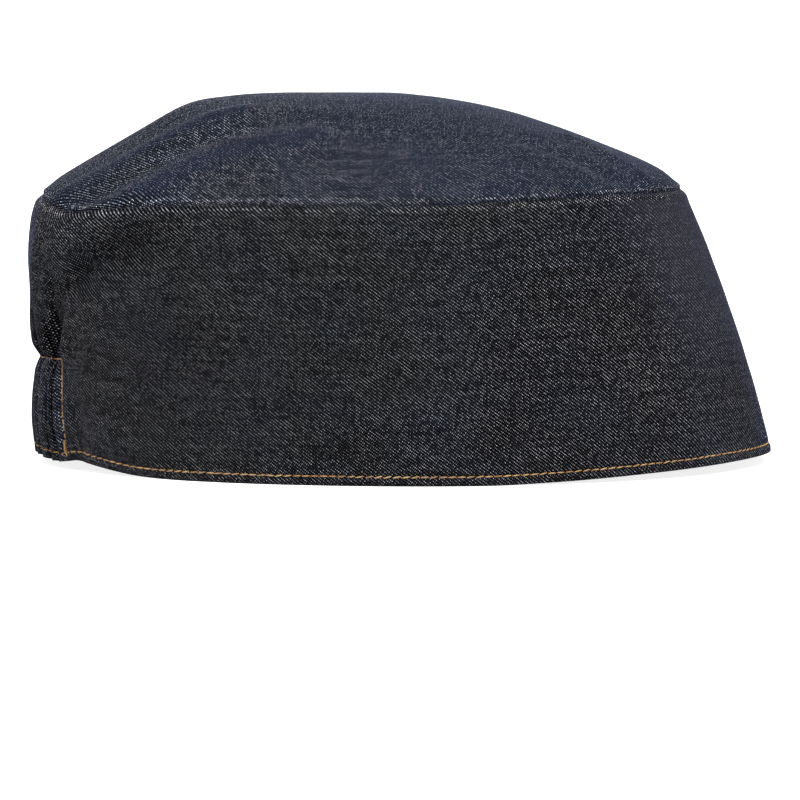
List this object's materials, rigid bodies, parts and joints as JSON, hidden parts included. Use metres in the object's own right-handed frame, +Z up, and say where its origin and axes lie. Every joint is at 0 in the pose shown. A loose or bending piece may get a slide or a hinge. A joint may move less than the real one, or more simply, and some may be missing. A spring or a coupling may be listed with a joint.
{
  "type": "chef skull cap",
  "caption": "Chef's skull cap of dark denim: domed oval crown, tapered band and a pleated elastic casing at the back.",
  "frame": {"origin": "middle of the cap's length and width, on the surface that its rim rests on", "axes": "+X towards the forehead, +Y towards the wearer's left, +Z up out of the crown"},
  "size_m": [0.2262, 0.1562, 0.112],
  "materials": {
    "band_denim": "dark indigo twill denim, unwashed, with off-white weft flecks",
    "crown_denim": "the same denim seen on the bias, a little bluer",
    "casing_denim": "dark indigo denim drawn up in pleats over elastic"
  },
  "bodies": {
    "root": {"side_band": "band_denim", "top_panel": "crown_denim", "gathered_back": "casing_denim"}
  },
  "joints": []
}
